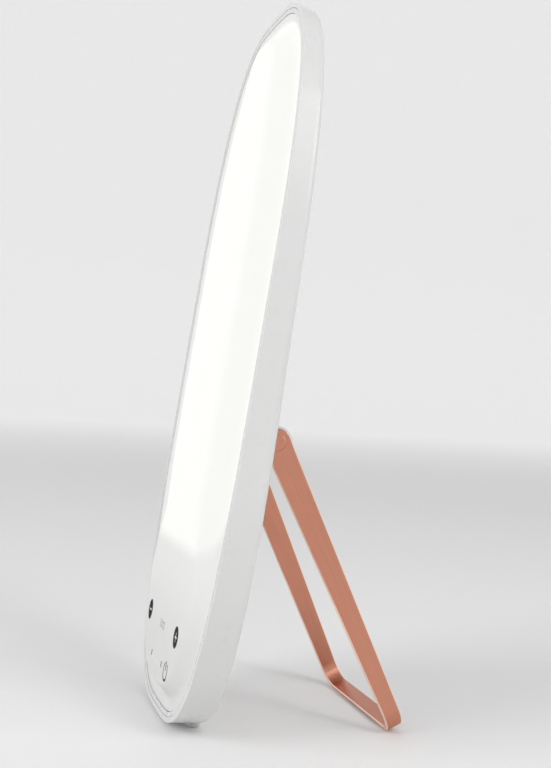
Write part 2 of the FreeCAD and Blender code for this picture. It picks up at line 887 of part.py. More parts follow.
def key_spots():
    """Places of the touch keys: less, more, power and the two ends of the brightness line."""
    row = -value("key_row")
    level = -value("level_row")
    return [(-key_spread, row), (key_spread, row), (power_spread, level), (-level_spread, level),
            (level_spread, level)]


def make_touch_board():
    half = key_spread + value("touch_border")
    taper = size("touch_taper")
    top = -size("touch_top")
    bottom = top - size("touch_height")
    shoulder = bottom + taper * SHOULDER_SLOPE
    corners = [(-half, top), (half, top), (half, shoulder), (-taper + half, bottom), (taper - half, bottom),
               (-half, shoulder)]
    piece(board("touch_board", corners, size("touch_depth"), size("board_wall")), "touch_board", "panel")


def make_touch_springs():
    """Conductive pads that carry each key's touch from the inside of the cover to the board."""
    springs = []
    radius = value("spring_radius")
    for index, (x, z) in enumerate(key_spots()):
        rim = [(x + across, z + up) for across in (-radius, radius) for up in (-radius, radius)]
        start = max(depth_on(cover_inside(), *place) for place in rim) + value("press_clearance")
        springs.append(rod("touch_spring_%d" % index, size("spring_radius"), (x, start, z),
                           value("touch_depth") - start, BACKWARD))
    piece(group("touch_springs", springs), "touch_springs", "panel")


def make_timer_display():
    width = size("display_width") * 0.5
    height = size("display_height") * 0.5
    row = -size("key_row")
    corners = [(-width, row - height), (width, row - height), (width, row + height), (-width, row + height)]
    wall = size("display_depth")
    piece(board("timer_display", corners, size("touch_depth") - wall, wall), "timer_display", "panel")


def make_control_board():
    half = size("control_half_width")
    top = -size("control_top")
    bottom = top - size("control_height")
    holes = [(x, z, hole_radius) for x, z in BOARD_SCREWS]
    corners = [(-half, top), (half, top), (half, bottom), (-half, bottom)]
    piece(board("control_board", corners, size("control_depth"), size("board_wall"), holes),
          "control_board", "panel")


def make_board_parts():
    """Driver chips and a coil that stand on the back of the control board."""
    back = size("control_depth") + size("board_wall")
    row = -value("control_top") - 0.5 * value("control_height")
    parts = []
    for index, (x, width, height) in enumerate(CHIPS):
        low = [x - 0.5 * width, back, row - 0.5 * height]
        high = [x + 0.5 * width, back + size("chip_height"), row + 0.5 * height]
        parts.append(block("board_part_%d" % index, low, high))
    piece(group("board_parts", parts), "board_parts", "panel")


def make_dc_jack():
    """A round inlet for a 5.5 mm plug with a 2.1 mm centre pin, mouth towards the back."""
    radius = size("jack_radius")
    plug = size("plug_radius")
    mouth = -size("jack_flange_wall")
    length = size("jack_length")
    pin = size("centre_pin_radius")
    recess = mouth + OVERRUN
    depth = mouth + size("plug_length")
    rim = radius + size("jack_flange")
    profile = [(mouth, plug), (mouth, rim), (0.0, rim), (0.0, radius), (length, radius), (length, 0.0),
               (recess, 0.0), (recess, pin), (depth, pin), (depth, plug)]
    seat = V(0, jack_seat(), -value("jack_drop"))
    inward = FreeCAD.Rotation(ACROSS, -BACKWARD)
    piece(turned("dc_jack", profile), "dc_jack", "panel", FreeCAD.Placement(seat, inward))


def jack_seat():
    """Depth of the flat that the inlet's flange sits on."""
    return back_depth(0.0, -value("jack_drop")) - value("jack_sink")


# ---------------------------------------------------------------- rear housing

def ear_parts(tag, sign):
    """The outside and the hollow of one hinge ear, a round lug that grows out of the back."""
    axis_z = -size("pivot_drop")
    radius = size("ear_radius")
    wall = size("ear_wall")
    hollow = radius - wall
    length = size("ear_outer") - size("ear_inner")
    low = size("ear_inner") if sign > 0 else -size("ear_outer")
    root = value("rear_depth")
    outside = [
        rod("ear_round_" + tag, radius, (low, pivot_depth, axis_z), length, ACROSS),
        block("ear_block_" + tag, [low, root - OVERRUN, axis_z - radius],
              [low + length, pivot_depth, axis_z + radius]),
    ]
    inner_low = low + wall
    inner_length = length - wall * 2.0
    cavity = [
        rod("ear_hollow_round_" + tag, hollow, (inner_low, pivot_depth, axis_z), inner_length, ACROSS),
        block("ear_hollow_" + tag, [inner_low, root - EAR_OPENING, axis_z - hollow],
              [inner_low + inner_length, pivot_depth, axis_z + hollow]),
    ]
    start = (size("ear_outer") - wall - BOND) * sign
    bore = rod("ear_bore_" + tag, bushing_radius + size("running_clearance"), (start, pivot_depth, axis_z),
               wall + 2.0 * BOND, ACROSS * sign)
    return outside, cavity + [bore]


def screw_posts():
    """Bosses inside the back for the screws, and the holes that run into them."""
    posts = []
    holes = []
    clear = size("running_clearance")
    boss = size("boss_radius")
    for index, (x, z) in enumerate(HOUSING_SCREWS):
        seat = back_depth(x, z) - value("screw_sink")
        posts.append(rod("housing_boss_%d" % index, boss, (x, boss_split + clear, z), THROUGH, BACKWARD))
        holes.append(rod("housing_hole_%d" % index, hole_radius, (x, boss_split - OVERRUN, z), THROUGH,
                         BACKWARD))
        holes.append(rod("housing_recess_%d" % index, size("screw_head_radius") + size("head_clearance"),
                         (x, seat, z), THROUGH, BACKWARD))
    start = size("control_depth") + size("board_wall")
    for index, (x, z) in enumerate(BOARD_SCREWS):
        posts.append(rod("board_boss_%d" % index, boss, (x, start, z), THROUGH, BACKWARD))
        holes.append(rod("board_pilot_%d" % index, pilot_radius, (x, start - OVERRUN, z),
                         size("board_screw_length") + BOND, BACKWARD))
    return posts, holes


def jack_post():
    """The boss that the inlet sits in, and its stepped hole."""
    seat = jack_seat()
    z = -value("jack_drop")
    clear = size("press_clearance")
    radius = size("jack_radius")
    post = rod("jack_boss", radius + size("jack_boss_wall"), (0.0, seat - value("jack_boss_depth"), z),
               THROUGH, BACKWARD)
    holes = [
        rod("jack_hole", radius + clear, (0.0, seat - 0.5 * THROUGH, z), THROUGH, BACKWARD),
        rod("jack_recess", radius + size("jack_flange") + size("screw_clearance"), (0.0, seat, z), THROUGH,
            BACKWARD),
    ]
    return [post], holes


def foot_posts():
    """The bosses over the feet and the sockets that the feet are pressed into."""
    posts = []
    holes = []
    radius = size("foot_radius")
    wall = size("foot_boss_wall")
    clear = size("press_clearance")
    for tag, sign in SIDES:
        top = foot_seat(sign) - DOWN * value("foot_socket")
        posts.append(rod("foot_boss_" + tag, radius + wall, top - DOWN * wall.value, THROUGH, DOWN))
        holes.append(rod("foot_hole_" + tag, radius + clear, top, THROUGH, DOWN))
    return posts, holes


def make_rear_housing():
    """The moulded back: a drafted side, a rounded edge and a crowned back with two hinge ears."""
    wall = value("wall")
    depth = value("rear_depth")
    outside = [
        tapered_slab("housing_side", 0.0, value("rim_depth"), value("side_draft"),
                     depth - value("rear_edge_radius")),
        lofted("housing_edge", back_edge(), REAR_SLOPE),
        lofted("housing_back", back_outside(), REAR_SLOPE),
    ]
    ear_spaces = []
    for tag, sign in SIDES:
        solids, spaces = ear_parts(tag, sign)
        outside += solids
        ear_spaces += spaces
    blank = fuse("housing_blank", outside)

    def ear_root(edge):
        middle = mid_point(edge)
        beside = value("ear_inner") - SNAP < abs(middle.x) < value("ear_outer") + SNAP
        level = abs(middle.z + value("pivot_drop")) < value("ear_radius") + SNAP
        behind = abs(middle.y - back_depth(middle.x, middle.z)) < EAR_ROOT_REACH
        return beside and level and behind

    outer = fillet("housing_outer", blank, value("ear_fillet"), ear_root)
    opened = cut("housing_opened", outer, ear_spaces)
    cavity = fuse("housing_cavity", [
        tapered_slab("cavity_side", wall, value("rim_depth") - 0.25 * THROUGH, wall,
                     depth - wall - value("shoulder_depth")),
        lofted("cavity_back", back_inside(), REAR_SLOPE),
    ])
    posts = []
    holes = []
    for solids, spaces in (screw_posts(), jack_post(), foot_posts()):
        posts += solids
        holes += spaces
    shell = cut("housing_shell", opened, [cut("housing_space", cavity, posts)])
    piece(cut("rear_housing", shell, holes), "rear_housing", "panel")


def make_feet():
    """Soft round feet, pressed into sockets under the panel."""
    radius = size("foot_radius")
    stand = size("foot_stand")
    rounding = size("foot_round")
    top = -size("foot_socket") + size("running_clearance")
    profile = [(top, 0.0), (top, radius), (stand - rounding, radius),
               (stand - rounding * 0.3, radius - rounding * 0.3), (stand, radius - rounding), (stand, 0.0)]
    for tag, sign in SIDES:
        piece(turned("foot_" + tag, profile), "foot_" + tag, "panel",
              FreeCAD.Placement(foot_seat(sign), FreeCAD.Rotation(ACROSS, DOWN)))


# ---------------------------------------------------------------- screws

def make_screws(name, places, seat, length, direction):
    """Pan-head screws along the depth, each with its head on the seat and its point this way."""
    screws = []
    for index, (x, z) in enumerate(places):
        start = (x, seat(x, z), z)
        tag = "%s_%d" % (name, index)
        screws.append(fuse(tag, [
            rod(tag + "_head", size("screw_head_radius"), start, size("screw_head"), -direction),
            rod(tag + "_shank", size("screw_radius"), start, size(length), direction),
        ]))
    piece(group(name, screws), name, "panel")


def housing_seat(x, z):
    """Depth of the step in the back that a housing screw's head sits on."""
    return back_depth(x, z) - value("screw_sink")


def plate_seat(x, z):
    return plate_back.value


def board_seat(x, z):
    return value("control_depth")


# ---------------------------------------------------------------- stand

def strip_path():
    """The centre line of the strip, in the stand's frame."""
    half = 0.5 * value("strip_wall")
    eye = value("ear_outer") + value("washer_wall") + value("running_clearance") + half
    foot = eye + value("leg_spread")
    top = value("eye_radius") + OVERRUN
    bend = -value("eye_length")
    bottom = -value("leg_length") + half
    corners = [V(eye, 0, top), V(eye, 0, bend), V(foot, 0, bottom)]
    corners += [V(-point.x, 0, point.z) for point in reversed(corners)]
    bends = [value("eye_bend"), value("foot_bend")]
    return rounded_path(corners, bends + bends[::-1])


def strip_side():
    """The strip seen from the side: round at its eyes and narrower towards the table."""
    radius = value("eye_radius")
    foot = value("foot_half_width")
    bottom = -value("leg_length") - OVERRUN
    return Part.Wire([
        Part.Arc(V(0, radius, 0), V(0, 0, radius), V(0, -radius, 0)).toShape(),
        Part.LineSegment(V(0, -radius, 0), V(0, -foot, bottom)).toShape(),
        Part.LineSegment(V(0, -foot, bottom), V(0, foot, bottom)).toShape(),
        Part.LineSegment(V(0, foot, bottom), V(0, radius, 0)).toShape(),
    ])


def make_stand_strip():
    """A flat strip bent into a U, trimmed to its tapered side view, bevelled and drilled."""
    path = add("Part::Feature", "strip_path")
    path.Shape = strip_path()
    half = 0.5 * value("strip_wall")
    width = value("eye_radius") + OVERRUN
    start = path.Shape.Vertexes[0].Point
    around = ((-half, -width), (half, -width), (half, width), (-half, width))
    corners = [start + V(x, y, 0) for x, y in around]
    section = add("Part::Feature", "strip_section")
    section.Shape = Part.makePolygon(corners + corners[:1])
    blank = add("Part::Sweep", "strip_blank")
    blank.Sections = [section]
    blank.Spine = (path, ["Edge%d" % number for number in range(1, len(path.Shape.Edges) + 1)])
    blank.Solid = True
    blank.Frenet = False

    side = add("Part::Feature", "strip_side")
    side.Shape = strip_side()
    taper = add("Part::Extrusion", "strip_taper")
    taper.Base = side
    taper.DirMode = "Custom"
    taper.Dir = ACROSS
    taper.Solid = True
    bind(taper, "LengthFwd", size("half_width"))
    bind(taper, "LengthRev", size("half_width"))

    def long_edge(edge):
        return edge.Length > value("strip_wall") + SNAP

    trimmed = common("strip_trimmed", [blank, taper])
    bevelled = fillet("strip_bevelled", trimmed, value("strip_chamfer"), long_edge, "Part::Chamfer")
    hole = rod("strip_hole", size("pin_radius") + size("running_clearance"), (-size("half_width"), 0.0, 0.0),
               size("half_width") * 2.0, ACROSS)
    piece(cut("stand_strip", bevelled, [hole]), "stand_strip", "stand")


def make_stand_pad():
    """The soft pad that the bar of the strip stands on."""
    half = size("pad_half_length")
    width = size("pad_half_width")
    body = add_body("stand_pad")
    sketch = sketch_on(body, "XY_Plane", -size("leg_length"))
    draw_polygon(sketch, [(-half, -width), (half, -width), (half, width), (-half, width)])
    pad = body.newObject("PartDesign::Pad", "stand_pad_pad")
    pad.Profile = sketch
    pad.Reversed = True
    bind(pad, "Length", size("pad_wall"))
    piece(body, "stand_pad", "stand")


# ---------------------------------------------------------------- hinge hardware

def make_hinge(tag, sign):
    """The parts of one hinge, drawn about the X axis for the right side and turned for the left."""
    clear = size("running_clearance")
    loose = size("press_clearance")
    ear = size("ear_outer")
    pin = size("pin_radius")
    inner_wall = ear - size("ear_wall")
    flange = inner_wall - size("flange_wall")
    spring_end = flange - clear - size("spring_stack")
    clip_end = spring_end - size("clip_wall")
    leg_inner = ear + clear + size("washer_wall")
    leg_outer = leg_inner + size("strip_wall")
    groove = pin - size("groove_depth")
    clip = size("clip_radius")
    side = FreeCAD.Rotation(UP, 0.0 if sign > 0 else 0.5 * FULL_TURN)
    on_panel = FreeCAD.Placement(PIVOT, side)
    on_stand = FreeCAD.Placement(ORIGIN, side)

    bushing = turned("hinge_bushing_" + tag, [
        (flange, pin + clear), (flange, size("flange_radius")), (inner_wall, size("flange_radius")),
        (inner_wall, bushing_radius), (ear, bushing_radius), (ear, pin + clear)])
    piece(bushing, "hinge_bushing_" + tag, "panel", on_panel)

    washer_radius = size("eye_radius") - size("washer_margin")
    washer = turned("hinge_washer_" + tag, [
        (ear + clear, pin + loose), (ear + clear, washer_radius), (leg_inner, washer_radius),
        (leg_inner, pin + loose)])
    piece(washer, "hinge_washer_" + tag, "stand", on_stand)

    leaf = size("spring_stack") * SPRING_LEAF
    spring = turned("hinge_spring_" + tag, [
        (spring_end, pin + loose), (spring_end + leaf, clip), (flange - clear, pin + loose + leaf),
        (flange - clear, pin + loose), (spring_end + leaf * 2.0, pin + loose + leaf * 0.5)])
    piece(spring, "hinge_spring_" + tag, "stand", on_stand)

    ring = turned("hinge_clip_" + tag, [
        (clip_end, groove + clear), (clip_end, clip), (spring_end, clip), (spring_end, groove + clear)])
    piece(ring, "hinge_clip_" + tag, "stand", on_stand)

    bevel = size("pin_bevel")
    tip = clip_end - OVERRUN
    shaft = turned("hinge_pin_" + tag, [
        (tip, 0.0), (tip, pin - bevel), (tip + bevel, pin), (clip_end - clear, pin),
        (clip_end - clear, groove), (spring_end + clear, groove), (spring_end + clear, pin),
        (leg_outer, pin), (leg_outer, 0.0)])
    piece(shaft, "hinge_pin_" + tag, "stand", on_stand)

    cap_radius = size("cap_radius")
    cap_bevel = size("cap_bevel")
    cap_face = leg_outer + size("cap_wall")
    cap = turned("pivot_cap_" + tag, [
        (leg_outer, 0.0), (leg_outer, cap_radius), (cap_face - cap_bevel, cap_radius),
        (cap_face, cap_radius - cap_bevel), (cap_face, 0.0)])
    piece(cap, "pivot_cap_" + tag, "stand", on_stand)


# ---------------------------------------------------------------- the whole lamp

make_front_cover()
make_front_bezel()
make_cover_tape()
make_light_stack()
make_light_strips()
make_touch_board()
make_touch_springs()
make_timer_display()
make_control_board()
make_board_parts()
make_dc_jack()
make_rear_housing()
make_feet()
make_screws("housing_screws", HOUSING_SCREWS, housing_seat, "housing_screw_length", -BACKWARD)
make_screws("plate_screws", PLATE_SCREWS, plate_seat, "plate_screw_length", -BACKWARD)
make_screws("board_screws", BOARD_SCREWS, board_seat, "board_screw_length", BACKWARD)
make_stand_strip()
make_stand_pad()
for tag, sign in SIDES:
    make_hinge(tag, sign)
doc.recompute()

for item in doc.Objects:
    if "Invalid" in item.State or "Error" in item.State:
        raise RuntimeError("%s did not build" % item.Name)

# Lean the lamp back, then set it on the table with the origin under its middle.
leaning = FreeCAD.Rotation(ACROSS, -math.degrees(LEAN))
carriers = {
    "panel": FreeCAD.Placement(ORIGIN, leaning),
    "stand": FreeCAD.Placement(ORIGIN, leaning).multiply(STAND),
}
box = FreeCAD.BoundBox()
for item, label, carrier, local in PIECES:
    shape = item.Shape.copy()
    shape.Placement = carriers[carrier].multiply(local)
    box.add(shape.optimalBoundingBox(False, False))
shift = FreeCAD.Placement(V(-box.Center.x, -box.Center.y, -box.ZMin), FreeCAD.Rotation())
for item, label, carrier, local in PIECES:
    item.Placement = shift.multiply(carriers[carrier]).multiply(local)
doc.recompute()

for item, label, carrier, local in PIECES:
    if item.Shape.isNull() or not item.Shape.isValid() or not item.Shape.Solids:
        raise RuntimeError("%s has no valid solid" % label)

os.makedirs("parts", exist_ok=True)
for item, label, carrier, local in PIECES:
    item.Shape.exportStep("parts/%s.step" % label)
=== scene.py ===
import json
import math

import bmesh
import bpy
from mathutils import Matrix, Vector
from mathutils.bvhtree import BVHTree


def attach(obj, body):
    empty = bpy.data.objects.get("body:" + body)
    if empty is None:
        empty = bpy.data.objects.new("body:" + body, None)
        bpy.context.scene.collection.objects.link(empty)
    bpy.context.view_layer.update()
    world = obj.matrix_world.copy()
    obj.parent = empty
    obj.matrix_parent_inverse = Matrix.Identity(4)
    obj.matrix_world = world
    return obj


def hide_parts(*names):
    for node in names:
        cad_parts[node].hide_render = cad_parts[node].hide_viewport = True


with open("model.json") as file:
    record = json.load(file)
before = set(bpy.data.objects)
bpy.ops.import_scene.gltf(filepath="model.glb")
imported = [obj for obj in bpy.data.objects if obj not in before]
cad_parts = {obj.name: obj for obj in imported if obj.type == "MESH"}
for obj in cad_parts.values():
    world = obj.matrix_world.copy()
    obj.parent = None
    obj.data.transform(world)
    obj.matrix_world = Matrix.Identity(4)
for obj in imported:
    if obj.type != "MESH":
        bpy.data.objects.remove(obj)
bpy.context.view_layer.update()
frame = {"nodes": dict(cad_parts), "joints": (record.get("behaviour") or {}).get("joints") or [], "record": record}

MM = 0.001

# ------------------------------------------------------------------ the panel's own frame
# X across, Y into the panel, Z up along it, in millimetres from the middle of its front.

PIVOT = Vector((0, 32.4, -36.5))
HALF_WIDTH = 88.8
HALF_HEIGHT = 180.0
WAIST_RISE = 10.7
TOP_ROUNDNESS = 3.15
BOTTOM_ROUNDNESS = 3.24

hinge = frame["joints"][0]
inlet = next(m for m in frame["record"]["mounts"] if m["name"] == "power_inlet")
LEAN = math.atan2(-inlet["axis"][2], inlet["axis"][1])
OPEN_ANGLE = math.radians(32.7)

panel_to_world = (
    Matrix.Translation(Vector(hinge["pos_m"]))
    @ Matrix.Rotation(-LEAN, 4, "X")
    @ Matrix.Scale(MM, 4)
    @ Matrix.Translation(-PIVOT)
)
stand_to_world = panel_to_world @ Matrix.Translation(PIVOT) @ Matrix.Rotation(OPEN_ANGLE, 4, "X")


# ------------------------------------------------------------------ shader helpers

class Shader:
    """A material under construction: short calls for its nodes and links."""

    def __init__(self, name, metallic=0.0, ior=1.5):
        self.material = bpy.data.materials.new(name)
        self.material.use_nodes = True
        self.nodes = self.material.node_tree.nodes
        self.links = self.material.node_tree.links
        self.surface = self.nodes["Principled BSDF"]
        self.set("Metallic", metallic)
        self.set("IOR", ior)

    def set(self, socket, source):
        """Give a socket of the surface a value or a link."""
        self.feed(self.surface.inputs[socket], source)
        return self

    def feed(self, socket, source):
        if isinstance(source, bpy.types.NodeSocket):
            self.links.new(source, socket)
        elif isinstance(source, (tuple, list)) and len(source) == 3 and len(socket.default_value) == 4:
            socket.default_value = (*source, 1.0)
        else:
            socket.default_value = source

    def node(self, kind, *sources, output=0, **settings):
        made = self.nodes.new(kind)
        for key, setting in settings.items():
            setattr(made, key, setting)
        for socket, source in zip(made.inputs, sources):
            if source is not None:
                self.feed(socket, source)
        return made.outputs[output]

    def math(self, operation, *sources):
        return self.node("ShaderNodeMath", *sources, operation=operation)

    def weighed(self, first, second, share):
        """The share of the first value and the rest of the second."""
        rest = round(1.0 - share, 6)
        return self.math("ADD", self.math("MULTIPLY", first, share), self.math("MULTIPLY", second, rest))

    def split(self, vector):
        """The three parts of a vector."""
        parts = self.nodes.new("ShaderNodeSeparateXYZ")
        self.links.new(vector, parts.inputs[0])
        return parts.outputs

    def length(self, first, second):
        """The length of the way given by two distances at right angles."""
        squares = [self.math("POWER", side, 2.0) for side in (first, second)]
        return self.math("SQRT", self.math("ADD", *squares))

    def measured(self, operation, *vectors):
        """A number worked out from vectors."""
        return self.node("ShaderNodeVectorMath", *vectors, operation=operation, output="Value")

    def blend(self, factor, low, high):
        """A colour between two others."""
        first, second, result = 6, 7, 2    # the sockets of a Mix node that carry colours
        made = self.nodes.new("ShaderNodeMix")
        made.data_type = "RGBA"
        self.feed(made.inputs["Factor"], factor)
        self.feed(made.inputs[first], low)
        self.feed(made.inputs[second], high)
        return made.outputs[result]

    def between(self, value, start, end, low=0.0, high=1.0, smooth=True):
        """Low before the start, high after the end."""
        kind = "SMOOTHSTEP" if smooth else "LINEAR"
        return self.node("ShaderNodeMapRange", value, start, end, low, high, interpolation_type=kind)

    def place(self, matrix=None):
        """Where the shaded point is: in world metres, or in the frame of a matrix to the world."""
        point = self.node("ShaderNodeTexCoord", output="Object")
        if matrix is None:
            return point
        location, rotation, scale = matrix.inverted().decompose()
        return self.node("ShaderNodeMapping", point, location, rotation.to_euler(), scale)

    def facing(self, direction):
        """How squarely the surface looks along a direction, whichever way."""
        normal = self.node("ShaderNodeTexCoord", output="Normal")
        along = self.measured("DOT_PRODUCT", normal, tuple(direction))
        return self.math("ABSOLUTE", along)

    def noise(self, place, scale, detail, roughness=0.5):
        return self.node("ShaderNodeTexNoise", place, None, scale, detail, roughness)

    def lacquered(self, weight, roughness):
        """A clear coat, which shows its surroundings most where it is seen edge-on."""
        self.set("Coat Weight", weight)
        return self.set("Coat Roughness", roughness)

    def bump(self, height, strength, depth):
        made = self.nodes.new("ShaderNodeBump")
        made.inputs["Strength"].default_value = strength
        made.inputs["Distance"].default_value = depth
        self.links.new(height, made.inputs["Height"])
        self.links.new(made.outputs[0], self.surface.inputs["Normal"])
        return self


def tint(colour, factor):
    return tuple(min(1.0, channel * factor) for channel in colour)


# ------------------------------------------------------------------ shape helpers

INWARD = (panel_to_world.to_3x3() @ Vector((0, 1, 0))).normalized()
IN_FRONT = -20.0               # depth of the places from which the cover's surface is looked for


def placed(name, data):
    """A new object of the scene for a mesh, a camera or a lamp."""
    item = bpy.data.objects.new(name, data)
    bpy.context.scene.collection.objects.link(item)
    return item


def shaped(name, shape, material, smooth=False):
    """Turn a finished bmesh into an object of one material."""
    for face in shape.faces:
        face.smooth = smooth
    mesh = bpy.data.meshes.new(name)
    shape.to_mesh(mesh)
    shape.free()
    mesh.materials.append(material)
    return placed(name, mesh)


def join_rings(shape, rings):
    """Faces from each closed ring of vertices to the next."""
    for low, high in zip(rings, rings[1:]):
        for step in range(len(low)):
            shape.faces.new((low[step - 1], low[step], high[step], high[step - 1]))


def round_places(reach, sides):
    """Places across and along, evenly round a circle."""
    turns = [2.0 * math.pi * step / sides for step in range(sides)]
    return [(reach * math.cos(turn), reach * math.sin(turn)) for turn in turns]


FINE_SHARE = 0.6               # of a grain's colour, beside its broad clouds
CLOUD_SCALE = 0.08             # of the clouds, to the grain
GRAIN_RELIEF = 0.35
SHINE_SWING = 0.05             # of the roughness, either way
MIDDLE_NOISE = (0.3, 0.7)      # where most of a noise's values lie


def grained(name, colour, rough, grain_mm, spread, bump_mm, metallic=0.0, stretch=(1, 1, 1)):
    """A surface whose colour, shine and relief all follow a grain of one size."""
    shader = Shader(name, metallic)
    place = shader.node("ShaderNodeMapping", shader.place(), None, None, stretch)
    fine = shader.noise(place, 1.0 / (grain_mm * MM), 4.0)
    broad = shader.noise(place, CLOUD_SCALE / (grain_mm * MM), 3.0)
    mixed = shader.weighed(fine, broad, FINE_SHARE)
    shader.set("Base Color", shader.blend(mixed, tint(colour, 1 - spread), tint(colour, 1 + spread)))
    shine = shader.between(mixed, *MIDDLE_NOISE, rough - SHINE_SWING, rough + SHINE_SWING, smooth=False)
    shader.set("Roughness", shine)
    return shader.bump(fine, GRAIN_RELIEF, bump_mm * MM)


# ------------------------------------------------------------------ materials

def oval_share(shader, x, z, inset, end_inset):
    """1 on the outline brought inward by the insets of its sides and ends, less inside it."""
    rise = shader.math("SUBTRACT", z, WAIST_RISE)
    upper = shader.math("GREATER_THAN", rise, 0.0)
    reach = shader.between(upper, 0.0, 1.0, HALF_HEIGHT + WAIST_RISE - end_inset,
                           HALF_HEIGHT - WAIST_RISE - end_inset)
    power = shader.between(upper, 0.0, 1.0, BOTTOM_ROUNDNESS, TOP_ROUNDNESS)
    across = shader.math("DIVIDE", shader.math("ABSOLUTE", x), HALF_WIDTH - inset)
    along = shader.math("DIVIDE", shader.math("ABSOLUTE", rise), reach)
    total = shader.math("ADD", shader.math("POWER", across, power), shader.math("POWER", along, power))
    return shader.math("POWER", total, shader.math("DIVIDE", 1.0, power))


LIT_INSET = 8.6
LIT_END_INSET = 7.2
LIT_BOTTOM = -99.0
LIT_CORNER = 26.0
LIT_COLOUR = (0.975, 0.972, 0.945)
LIT_STRENGTH = 0.82
SPILL = 0.10                   # glow just below the window, fading out above the level line
SPILL_BOTTOM = -150.0
COVER_COLOUR = (0.80, 0.80, 0.79)
COVER_HAZE = 0.005             # swing of its colour, either way
COVER_ROUGHNESS = (0.40, 0.44)
COVER_RELIEF = 0.04
WINDOW_COLOUR = (0.02, 0.02, 0.02)   # under the glow, which already holds the light that it returns
WINDOW_SHARE = 0.92
FADE_HEIGHTS = (5.0, 50.0)     # above the window's bottom, between which its edge turns crisp
FADE_WIDTHS = (9.0, 1.2)       # of that edge, low and high
FADE_OVERLAP = -0.15


def cover_material():
    """Opal acrylic that glows inside the window and fades below it."""
    shader = Shader("opal_cover", ior=1.49)
    place = shader.place(panel_to_world)
    x, _, z = shader.split(place)
    share = oval_share(shader, x, z, LIT_INSET, LIT_END_INSET)
    from_side = shader.math("MULTIPLY", shader.math("SUBTRACT", 1.0, share), HALF_WIDTH - LIT_INSET)
    from_bottom = shader.math("SUBTRACT", z, LIT_BOTTOM)
    side_short = shader.math("MAXIMUM", shader.math("SUBTRACT", LIT_CORNER, from_side), 0.0)
    bottom_short = shader.math("MAXIMUM", shader.math("SUBTRACT", LIT_CORNER, from_bottom), 0.0)
    inside = shader.math("SUBTRACT", LIT_CORNER, shader.length(side_short, bottom_short))
    softness = shader.between(from_bottom, *FADE_HEIGHTS, *FADE_WIDTHS)
    lit = shader.between(shader.math("DIVIDE", inside, softness), FADE_OVERLAP, 1.0)
    haze = shader.noise(place, 0.02, 2.0)
    plain = shader.blend(haze, tint(COVER_COLOUR, 1 - COVER_HAZE), tint(COVER_COLOUR, 1 + COVER_HAZE))
    shader.set("Base Color", shader.blend(shader.math("MULTIPLY", lit, WINDOW_SHARE), plain, WINDOW_COLOUR))
    shader.set("Roughness", shader.between(shader.noise(place, 0.05, 3.0), *MIDDLE_NOISE, *COVER_ROUGHNESS))
    shader.set("Emission Color", LIT_COLOUR)
    spill = shader.between(z, SPILL_BOTTOM, LIT_BOTTOM, 0.0, SPILL)
    unlit = shader.math("MULTIPLY", shader.math("SUBTRACT", 1.0, lit), spill)
    shader.set("Emission Strength", shader.math("ADD", shader.math("MULTIPLY", lit, LIT_STRENGTH), unlit))
    return shader.bump(shader.noise(place, 0.12, 2.0), COVER_RELIEF, 0.01 * MM).material


COPPER = (0.63, 0.278, 0.187)
# paler colour painted on the strip's bevelled edges as a highlight
COPPER_EDGE_HIGHLIGHT = (0.95, 0.70, 0.58)
STROKES_ACROSS = 6.5           # of the brush, to a millimetre
STROKES_ALONG = 0.028
TURNED_STROKES = 9.0           # of the lathe on the caps, to a millimetre of radius
STROKE_FINE_SHARE = 0.85
STROKE_SWING = (0.90, 1.08)    # of the colour, between strokes
STROKE_ROUGHNESS = (0.27, 0.42)
EDGE_ROUGHNESS = (0.2, 0.2, 0.2)
EDGE_HIGHLIGHT_TURN = (0.3, 0.75)        # how squarely the strip's edges look along its width
COPPER_RELIEF = 0.28


def copper_material(name, turned=False):
    """Brushed, anodised copper colour with strokes along the strip; its smoother bevelled edges carry a painted
    highlight.

    Turned pieces, the caps, have their strokes round the hinge's line instead.
    """
    shader = Shader(name, metallic=1.0)
    place = shader.place(stand_to_world)
    x, y, z = shader.split(place)
    if turned:
        strokes = shader.node("ShaderNodeCombineXYZ",
                              shader.math("MULTIPLY", shader.length(y, z), TURNED_STROKES),
                              shader.math("MULTIPLY", x, 0.05), 0.0)
    else:
        along = shader.math("ADD", shader.math("MULTIPLY", x, STROKES_ALONG),
                            shader.math("MULTIPLY", z, STROKES_ALONG))
        strokes = shader.node("ShaderNodeCombineXYZ", shader.math("MULTIPLY", y, STROKES_ACROSS), along,
                              shader.math("MULTIPLY", x, 0.03))
    fine = shader.noise(strokes, 1.0, 5.0, 0.65)
    broad = shader.noise(strokes, 0.22, 3.0)
    stroke = shader.weighed(fine, broad, STROKE_FINE_SHARE)
    across_strip = stand_to_world.to_3x3().normalized() @ Vector((0, 1, 0))
    # painted highlight: a paler colour and a smoother shine where the surface faces along the strip's width, on
    # its edges
    edge = shader.between(shader.facing(across_strip), *EDGE_HIGHLIGHT_TURN)
    low, high = STROKE_SWING
    face = shader.blend(shader.between(stroke, *MIDDLE_NOISE), tint(COPPER, low), tint(COPPER, high))
    shader.set("Base Color", shader.blend(edge, face, COPPER_EDGE_HIGHLIGHT))
    face_shine = shader.between(stroke, *MIDDLE_NOISE, *STROKE_ROUGHNESS)
    shader.set("Roughness", shader.blend(edge, face_shine, EDGE_ROUGHNESS))
    shader.set("Anisotropic", 0.55)
    return shader.bump(fine, COPPER_RELIEF, 0.01 * MM).material


def board_material(name, mask, trace):
    """A printed circuit board: a solder mask with copper tracks showing through."""
    shader = Shader(name)
    place = shader.place(panel_to_world)
    scale, line, line_blur, colour_shift, width, height = 1.0, 0.03, 0.1, 0.0, 2.2, 1.1
    tracks = shader.node("ShaderNodeTexBrick", place, mask, tint(mask, 0.8), trace,
                         scale, line, line_blur, colour_shift, width, height)
    shader.set("Base Color", tracks)
    speck = shader.noise(place, 1.4, 3.0)
    shader.set("Roughness", shader.between(speck, *MIDDLE_NOISE, 0.26, 0.4))
    return shader.bump(speck, 0.3, 0.02 * MM).material


LACQUER_WEIGHT = 0.6
LACQUER_ROUGHNESS = 0.1


